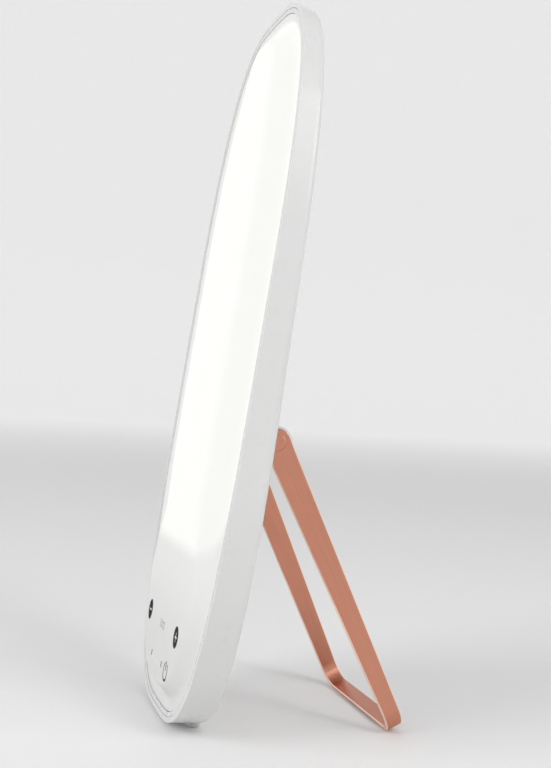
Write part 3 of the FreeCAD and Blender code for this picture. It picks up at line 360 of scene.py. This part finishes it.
def make_materials():
    """Every material slot of the record, by its name.

    The numbers of each are its roughness, the grain's size, the swing of its colour and the depth of its
    relief, and then, where it is metal, 1.0 and how the grain is stretched.
    """
    made = {
        "housing": grained("housing_plastic", (0.80, 0.80, 0.795), 0.30, 0.35, 0.006, 0.002),
        "bezel": grained("bezel_plastic", (0.78, 0.78, 0.775), 0.28, 0.35, 0.006, 0.002),
        "tape": grained("foam_tape", (0.75, 0.75, 0.73), 0.9, 0.5, 0.08, 0.06),
        "diffuser": grained("frosted_sheet", (0.93, 0.93, 0.92), 0.55, 0.3, 0.02, 0.01),
        "light_guide": grained("clear_guide", (0.92, 0.95, 0.95), 0.12, 2.0, 0.02, 0.002),
        "reflector": grained("white_film", (0.95, 0.95, 0.95), 0.45, 1.0, 0.02, 0.005),
        "plate": grained("rolled_plate", (0.72, 0.72, 0.73), 0.38, 0.6, 0.08, 0.01, 1.0, (1, 1, 0.04)),
        "led": grained("phosphor", (0.95, 0.88, 0.50), 0.5, 0.2, 0.05, 0.01),
        "spring_steel": grained("spring_steel", (0.62, 0.62, 0.63), 0.28, 0.3, 0.08, 0.006, 1.0),
        "display": grained("display_window", (0.06, 0.06, 0.062), 0.12, 1.0, 0.1, 0.002),
        "chips": grained("moulded_chips", (0.04, 0.04, 0.045), 0.55, 0.2, 0.12, 0.02),
        "jack": grained("inlet_plastic", (0.03, 0.03, 0.032), 0.32, 0.4, 0.1, 0.01),
        "foot": grained("foot_rubber", (0.76, 0.76, 0.74), 0.5, 0.3, 0.03, 0.02),
        "pad": grained("pad_rubber", (0.09, 0.09, 0.09), 0.75, 0.3, 0.12, 0.04),
        "pin": grained("ground_pin", (0.62, 0.62, 0.63), 0.22, 0.25, 0.08, 0.004, 1.0, (6, 1, 1)),
        "bushing": grained("turned_brass", (0.80, 0.60, 0.28), 0.3, 0.25, 0.08, 0.006, 1.0, (6, 1, 1)),
        "washer": grained("nylon", (0.85, 0.84, 0.80), 0.45, 0.4, 0.03, 0.01),
        "clip": grained("blackened_clip", (0.16, 0.16, 0.165), 0.4, 0.25, 0.12, 0.008, 1.0),
        "screw": grained("zinc_plate", (0.60, 0.60, 0.60), 0.3, 0.25, 0.1, 0.006, 1.0),
    }
    for slot in ("housing", "bezel"):
        made[slot].lacquered(LACQUER_WEIGHT, LACQUER_ROUGHNESS)
    made = {slot: shader.material for slot, shader in made.items()}
    made["cover"] = cover_material()
    made["copper_strip"] = copper_material("brushed_copper")
    made["cap"] = copper_material("turned_copper", turned=True)
    made["circuit_board"] = board_material("white_board", (0.82, 0.83, 0.80), (0.70, 0.45, 0.25))
    made["green_board"] = board_material("green_board", (0.03, 0.17, 0.07), (0.10, 0.33, 0.12))
    return made


def dress_nodes(materials):
    """Give each CAD node the material of its slot."""
    for item in frame["record"]["subparts"]:
        node = frame["nodes"][item["node"]]
        for slot in node.material_slots:
            slot.material = materials[item["material_slot"]]


# ------------------------------------------------------------------ front cover

COVER_INSET = 5.0              # of the cover's edge from the outline
COVER_FRONT = 5.3              # depth of its front edge
SNAP = 0.02                    # how near to that depth a point of the edge lies
COVER_BACK = 7.5
COVER_SHELL = 0.45
EDGE_ROUND = 0.35
VALLEY_DEPTH = 1.1
VALLEY_WIDTH = 5.0
CROWN_RISE = 5.9
CROWN_ACROSS = 44.0            # of the crown's slope, at the panel's sides
CROWN_BELOW = 16.0             # of the same slope beside the keys
CROWN_ALONG = 7.5              # and at the panel's ends
NARROWING = (0.45, 0.75)       # shares of the way down between which the slope narrows
CROWN_BLEND = 0.3              # share of the slope's width that rounds into it at each end
LEVEL_BORDER = 1.0             # of the level middle, ringed so that its shading stays level
LIP_WIDTH = 4.0
EDGE_STEPS = 4
VALLEY_STEPS = 8
CROWN_STEPS = 22


def cover_edge():
    """The front edge of the CAD cover, in order round it, as places across and up."""
    to_panel = panel_to_world.inverted()
    points = [to_panel @ vertex.co for vertex in frame["nodes"]["front_cover"].data.vertices]
    edge = {(round(point.x, 3), round(point.z, 3)) for point in points if abs(point.y - COVER_FRONT) < SNAP}
    return sorted(edge, key=lambda place: math.atan2(place[1] - WAIST_RISE, place[0]))


def brought_inward(edge, inward, part):
    """The edge's places, moved inward from every side and then by a part of the crown's slope."""
    moved = []
    for x, z in edge:
        rise = z - WAIST_RISE
        reach = HALF_HEIGHT - COVER_INSET + (-WAIST_RISE if rise > 0.0 else WAIST_RISE)
        half = HALF_WIDTH - COVER_INSET
        down = min(max((-rise / reach - NARROWING[0]) / (NARROWING[1] - NARROWING[0]), 0.0), 1.0)
        slope = CROWN_ACROSS + (CROWN_BELOW - CROWN_ACROSS) * down ** 2 * (3.0 - 2.0 * down)
        across = inward + slope * part
        along = inward + CROWN_ALONG * part
        moved.append((x * (half - across) / half, WAIST_RISE + rise * (reach - along) / reach))
    return moved


def crown(part):
    """Share of the crown's rise: a straight slope that rounds off at both ends."""
    steepest = 1.0 / (1.0 - CROWN_BLEND)
    if part < CROWN_BLEND:
        return 0.5 * steepest * part ** 2 / CROWN_BLEND
    if part > 1.0 - CROWN_BLEND:
        return 1.0 - 0.5 * steepest * (1.0 - part) ** 2 / CROWN_BLEND
    return steepest * (part - 0.5 * CROWN_BLEND)


def cover_profile():
    """The cover's front from edge to level middle: distance inward, part of the crown's slope, depth."""
    profile = []
    for step in range(EDGE_STEPS + 1):
        turn = 0.5 * math.pi * step / EDGE_STEPS
        inward = EDGE_ROUND * (1.0 - math.cos(turn))
        profile.append((inward, 0.0, COVER_FRONT + EDGE_ROUND * (1.0 - math.sin(turn))))
    for step in range(1, VALLEY_STEPS + 1):
        part = step / VALLEY_STEPS
        inward = EDGE_ROUND + (VALLEY_WIDTH - EDGE_ROUND) * part
        sink = VALLEY_DEPTH * 0.5 * (1.0 - math.cos(math.pi * part))
        profile.append((inward, 0.0, COVER_FRONT + sink))
    for step in range(1, CROWN_STEPS + 1):
        part = step / CROWN_STEPS
        profile.append((VALLEY_WIDTH, part, COVER_FRONT + VALLEY_DEPTH - CROWN_RISE * crown(part)))
    profile.append((VALLEY_WIDTH + LEVEL_BORDER, 1.0, profile[-1][2]))
    return profile


def make_cover(material):
    """The opal cover as a thin moulding: rounded edge, shallow valley inside its border, gentle crown."""
    front = cover_profile()
    lip = [(inward, 0.0, COVER_BACK) for inward in (0.0, LIP_WIDTH)]
    back = [(inward, part, depth + COVER_SHELL) for inward, part, depth in front if inward > LIP_WIDTH]
    shell = bmesh.new()
    edge = cover_edge()
    rings = []
    for inward, part, depth in back[::-1] + lip[::-1] + front:
        rings.append([shell.verts.new(panel_to_world @ Vector((x, depth, z)))
                      for x, z in brought_inward(edge, inward, part)])
    join_rings(shell, rings)
    for ring in (rings[0], rings[-1]):
        edges = [shell.edges.get((ring[step - 1], ring[step])) for step in range(len(edge))]
        bmesh.ops.triangle_fill(shell, use_beauty=True, use_dissolve=False, edges=edges)
    bmesh.ops.recalc_face_normals(shell, faces=shell.faces[:])
    cover = shaped("opal_cover", shell, material, smooth=True)
    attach(cover, "panel")
    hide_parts("front_cover")
    return cover


# ------------------------------------------------------------------ touch pads behind the cover

KEY_ROW = -136.1               # heights of the two rows that the pads and the signs share
LEVEL_ROW = -154.2
KEY_PAD_SPREAD = 37.16
LEVEL_PAD_SPREAD = 14.21
POWER_PAD_ACROSS = 28.21
PAD_RADIUS = 2.6
PAD_FOOT = 5.2                 # depth where the pads stand on the touch board
PAD_ROUND = 0.3
PAD_ROUND_PARTS = (0.33, 0.67, 1.0)    # of the quarter turn that rounds the top
PAD_CLEARANCE = 0.1
PAD_STEPS = 32
PAD_PLACES = (
    (-KEY_PAD_SPREAD, KEY_ROW),
    (KEY_PAD_SPREAD, KEY_ROW),
    (POWER_PAD_ACROSS, LEVEL_ROW),
    (-LEVEL_PAD_SPREAD, LEVEL_ROW),
    (LEVEL_PAD_SPREAD, LEVEL_ROW),
)


def pad_profile(top):
    """A pad's outline from its foot up, as radius and depth."""
    profile = [(PAD_RADIUS, PAD_FOOT), (PAD_RADIUS, top + PAD_ROUND)]
    for part in PAD_ROUND_PARTS:
        turn = 0.5 * math.pi * part
        profile.append((PAD_RADIUS - PAD_ROUND * (1.0 - math.cos(turn)),
                        top + PAD_ROUND * (1.0 - math.sin(turn))))
    return profile


def make_touch_pads(material, surface):
    """Short conductive pads with rounded tops, each as high as the cover leaves room for."""
    to_panel = panel_to_world.inverted()
    pads = bmesh.new()
    for x, z in PAD_PLACES:
        depths = []
        for across, up in round_places(PAD_RADIUS, PAD_STEPS):
            rim = panel_to_world @ Vector((x + across, IN_FRONT, z + up))
            depths.append((to_panel @ surface.ray_cast(rim, INWARD)[0]).y)
        rings = []
        for radius, depth in pad_profile(max(depths) + COVER_SHELL + PAD_CLEARANCE):
            rings.append([pads.verts.new(panel_to_world @ Vector((x + across, depth, z + up)))
                          for across, up in round_places(radius, PAD_STEPS)])
        join_rings(pads, rings)
        pads.faces.new(rings[0])
        pads.faces.new(rings[-1])
    bmesh.ops.recalc_face_normals(pads, faces=pads.faces[:])
    item = shaped("touch_pads", pads, material)
    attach(item, "panel")
    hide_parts("touch_springs")


# ------------------------------------------------------------------ signs on the cover

KEY_SPREAD = 37.3
KEY_RADIUS = 5.3
GLYPH_REACH = 2.3
GLYPH_WIDTH = 0.85
DIGIT_MIDDLE = Vector((0.4, -137.0))
DIGIT_HEIGHT = 3.9
DIGIT_WIDTH = 2.1
DIGIT_PITCH = 3.1
DIGIT_LINE = 0.42
UPRIGHT_LOSS = 1.25            # line widths by which an upright segment is shorter than its row
FLAT_LOSS = 2.4                # and a flat one than the figure's width
COLON_ROOM = 0.35              # by which each pair of digits stands away from the dots
COLON_RISE = 0.8
LEVEL_SPREAD = 14.2
MARK_WIDTH = 1.5
MARK_HEIGHT = 2.9
LINE_WIDTH = 0.3
LINE_DROP = 1.3                # of the level line below its marks' middle
LINE_GAP = 1.6                 # between its ends and the marks' middle
POWER_PLACE = Vector((26.6, -154.8))
POWER_RADIUS = 4.4
POWER_LINE = 1.1
POWER_TURNS = (125.0, 415.0)   # where its open ring starts and ends, in degrees
POWER_BAR_RISE = 2.6
POWER_BAR_HEIGHT = 4.6
INK_DEPTH = 0.012
INK_LIFT = 0.004
INK_ROUGHNESS = 0.8            # matt, so that no reflection hides the signs
INK_SHEEN = 0.15
CIRCLE_STEPS = 48

SEGMENTS = {
    "0": "abcdef",
    "3": "abcdg",
}


def circle(middle, radius, start=0.0, end=360.0):
    """Points along a circle, or along the part of it between two turns in degrees."""
    steps = range(CIRCLE_STEPS + 1)
    turns = [math.radians(start + (end - start) * step / CIRCLE_STEPS) for step in steps]
    if end - start >= 360.0:
        turns.pop()
    return [middle + Vector((math.cos(turn), math.sin(turn))) * radius for turn in turns]


def bar(middle, width, height):
    """The corners of an upright rectangle."""
    half = Vector((0.5 * width, 0.5 * height))
    signs = ((-1, -1), (1, -1), (1, 1), (-1, 1))
    return [middle + Vector((half.x * across, half.y * up)) for across, up in signs]


def arc_band(middle, radius, width, start, end):
    """A stretch of a ring."""
    outer = circle(middle, radius + 0.5 * width, start, end)
    return outer + circle(middle, radius - 0.5 * width, start, end)[::-1]


def digit(middle, figure):
    """The lit segments of one figure, each a bar with a gap to its neighbours."""
    across = 0.5 * (DIGIT_WIDTH - DIGIT_LINE)
    half = 0.25 * (DIGIT_HEIGHT - DIGIT_LINE)
    upright = 2.0 * half - UPRIGHT_LOSS * DIGIT_LINE
    flat = DIGIT_WIDTH - FLAT_LOSS * DIGIT_LINE
    places = {
        "a": (Vector((0, 2 * half)), flat, DIGIT_LINE),
        "b": (Vector((across, half)), DIGIT_LINE, upright),
        "c": (Vector((across, -half)), DIGIT_LINE, upright),
        "d": (Vector((0, -2 * half)), flat, DIGIT_LINE),
        "e": (Vector((-across, -half)), DIGIT_LINE, upright),
        "f": (Vector((-across, half)), DIGIT_LINE, upright),
        "g": (Vector((0, 0)), flat, DIGIT_LINE),
    }
    return [bar(middle + places[name][0], *places[name][1:]) for name in SEGMENTS[figure]]


def surface_of(cover):
    """The cover's faces, to find where the pads and the signs meet it."""
    corners = [vertex.co.copy() for vertex in cover.data.vertices]
    return BVHTree.FromPolygons(corners, [tuple(face.vertices) for face in cover.data.polygons])


def printed(name, outlines, material, surface):
    """Flat shapes, given as outlines with their holes, laid on the cover as a thin film of ink."""
    film = bmesh.new()
    for loops in outlines:
        edges = []
        for loop in loops:
            points = [film.verts.new((point.x, 0.0, point.y)) for point in loop]
            edges += [film.edges.new(pair) for pair in zip(points, points[1:] + points[:1])]
        bmesh.ops.triangle_fill(film, use_beauty=True, use_dissolve=False, edges=edges)
    bmesh.ops.subdivide_edges(film, edges=film.edges[:], cuts=1)
    for vertex in film.verts:
        start = panel_to_world @ Vector((vertex.co.x, IN_FRONT, vertex.co.z))
        vertex.co = surface.ray_cast(start, INWARD)[0] - INWARD * INK_LIFT * MM
    grown = bmesh.ops.extrude_face_region(film, geom=film.faces[:])
    for item in grown["geom"]:
        if isinstance(item, bmesh.types.BMVert):
            item.co -= INWARD * INK_DEPTH * MM
    bmesh.ops.recalc_face_normals(film, faces=film.faces[:])
    sign = shaped(name, film, material)
    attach(sign, "panel")


def ink_material(name, colour):
    ink = grained(name, colour, INK_ROUGHNESS, 0.25, 0.06, 0.003)
    return ink.set("Specular IOR Level", INK_SHEEN).material


def plus(middle, reach, half):
    """A plus sign, given by half its length and half the width of its line."""
    arms = [(reach, -half), (reach, half), (half, half), (half, reach), (-half, reach), (-half, half),
            (-reach, half), (-reach, -half), (-half, -half), (-half, -reach), (half, -reach), (half, -half)]
    return [middle + Vector(arm) for arm in arms]


def make_signs(surface):
    """The generic signs: less and more, the timer's digits, a level line and a power ring."""
    dark = ink_material("dark_ink", (0.022, 0.022, 0.024))
    grey = ink_material("grey_ink", (0.16, 0.16, 0.16))
    pale = ink_material("pale_ink", (0.97, 0.97, 0.97))

    for name, side in (("less", -1), ("more", 1)):
        middle = Vector((side * KEY_SPREAD, KEY_ROW))
        glyph = bar(middle, 2 * GLYPH_REACH, GLYPH_WIDTH)
        if side > 0:
            glyph = plus(middle, GLYPH_REACH, 0.5 * GLYPH_WIDTH)
        printed("key_" + name, [[circle(middle, KEY_RADIUS), glyph]], dark, surface)

    shapes = []
    for index, figure in enumerate("3000"):
        step = (index - 1.5) * DIGIT_PITCH + (COLON_ROOM if index > 1 else -COLON_ROOM)
        shapes += [[outline] for outline in digit(DIGIT_MIDDLE + Vector((step, 0)), figure)]
    for rise in (-COLON_RISE, COLON_RISE):
        shapes.append([bar(DIGIT_MIDDLE + Vector((0, rise)), DIGIT_LINE, DIGIT_LINE)])
    printed("timer_digits", shapes, grey, surface)

    marks = [[bar(Vector((side * LEVEL_SPREAD, LEVEL_ROW)), MARK_WIDTH, MARK_HEIGHT)] for side in (-1, 1)]
    printed("level_marks", marks, ink_material("mark_ink", (0.07, 0.07, 0.07)), surface)
    reach = 2 * (LEVEL_SPREAD - LINE_GAP)
    printed("level_line", [[bar(Vector((0, LEVEL_ROW - LINE_DROP)), reach, LINE_WIDTH)]], pale, surface)

    power = [
        [arc_band(POWER_PLACE, POWER_RADIUS, POWER_LINE, *POWER_TURNS)],
        [bar(POWER_PLACE + Vector((0, POWER_BAR_RISE)), POWER_LINE, POWER_BAR_HEIGHT)],
    ]
    printed("power_sign", power, ink_material("power_ink", (0.04, 0.04, 0.04)), surface)


# ------------------------------------------------------------------ studio

CAMERA_PLACE = Vector((614.8, -123.8, -31.7))      # in the panel's frame, with the turns in degrees
CAMERA_YAW = 75.30
CAMERA_PITCH = 2.22
CAMERA_ROLL = 9.81
FOCAL_SHARE = 1228.5 / 768.0
SENSOR = 36.0
FLOOR_REACH = 6.0
COVE_RADIUS = 1.0
COVE_STEPS = 12
WALL_HEIGHT = 5.0
STAGE_SIDES = 64
GLOW = 0.38                    # of the backdrop, as the camera and reflections see it
GLOW_FLOOR = 0.10              # of the floor near the part
GLOW_START = 1.0               # distances from the part between which the floor's glow
GLOW_END = 5.2                 # turns into the backdrop's
WORLD_STRENGTH = 0.56
LAMPS = (                      # name, place, target, size and watts
    ("front_lamp", (0.8, -3.2, 2.0), (0, 0, 0.18), (2.2, 2.2), 60),
    ("side_lamp", (1.4, 0.53, 1.34), (0, 0, 0.3), (0.5, 0.7), 9),
    ("back_lamp", (1.1, 1.3, 0.9), (0, 0, 0.18), (0.5, 1.2), 4),
)


def make_camera():
    """The photograph's view, set out in the panel's frame."""
    camera = bpy.data.cameras.new("camera")
    camera.sensor_width = SENSOR
    camera.lens = SENSOR * FOCAL_SHARE
    camera.clip_start = 0.01
    item = placed("camera", camera)
    turn = (
        Matrix.Rotation(math.radians(CAMERA_YAW), 4, "Z")
        @ Matrix.Rotation(math.radians(90.0 + CAMERA_PITCH), 4, "X")
        @ Matrix.Rotation(math.radians(CAMERA_ROLL), 4, "Z")
    )
    item.matrix_world = (
        Matrix.Translation(panel_to_world @ CAMERA_PLACE) @ Matrix.Rotation(-LEAN, 4, "X") @ turn
    )
    bpy.context.scene.camera = item


def make_stage():
    """A pale floor that curves up into a backdrop all round."""
    shader = grained("stage_paint", (0.78, 0.78, 0.78), 0.7, 4.0, 0.01, 0.02)
    path = shader.nodes.new("ShaderNodeLightPath")
    seen = shader.math("ADD", path.outputs["Is Camera Ray"], path.outputs["Is Glossy Ray"])
    seen = shader.math("MINIMUM", shader.math("ADD", seen, path.outputs["Is Transmission Ray"]), 1.0)
    away = shader.measured("LENGTH", shader.place())
    glow = shader.between(away, GLOW_START, GLOW_END, GLOW_FLOOR, GLOW)
    shader.set("Emission Color", (1.0, 1.0, 1.0))
    shader.set("Emission Strength", shader.math("MULTIPLY", seen, glow))
    profile = [(FLOOR_REACH - COVE_RADIUS, 0.0)]
    for step in range(1, COVE_STEPS + 1):
        turn = 0.5 * math.pi * step / COVE_STEPS
        profile.append((FLOOR_REACH - COVE_RADIUS + COVE_RADIUS * math.sin(turn),
                        COVE_RADIUS * (1.0 - math.cos(turn))))
    profile.append((FLOOR_REACH, WALL_HEIGHT))
    floor = bmesh.new()
    rings = [[floor.verts.new((x, y, height)) for x, y in round_places(reach, STAGE_SIDES)]
             for reach, height in profile]
    floor.faces.new(rings[0])
    join_rings(floor, [ring[::-1] for ring in rings])
    stage = shaped("stage", floor, shader.material, smooth=True)


def soft_lamp(name, place, target, size, watts):
    """A rectangular lamp that looks at its target."""
    lamp = bpy.data.lights.new(name, "AREA")
    lamp.shape = "RECTANGLE"
    lamp.size, lamp.size_y = size
    lamp.energy = watts
    item = placed(name, lamp)
    item.location = place
    item.rotation_euler = (Vector(target) - Vector(place)).to_track_quat("-Z", "Y").to_euler()


def make_light():
    """An even white world and the lamps."""
    world = bpy.data.worlds.new("studio")
    world.use_nodes = True
    background = world.node_tree.nodes["Background"]
    background.inputs["Color"].default_value = (1.0, 1.0, 1.0, 1.0)
    background.inputs["Strength"].default_value = WORLD_STRENGTH
    bpy.context.scene.world = world
    bpy.context.scene.view_settings.view_transform = "Standard"
    for lamp in LAMPS:
        soft_lamp(*lamp)


# ------------------------------------------------------------------ all together

materials = make_materials()
dress_nodes(materials)
surface = surface_of(make_cover(materials["cover"]))
make_touch_pads(materials["spring_steel"], surface)
make_signs(surface)
make_camera()
make_stage()
make_light()


def corners(box):
    return [[float(c) for c in corner] for corner in box]
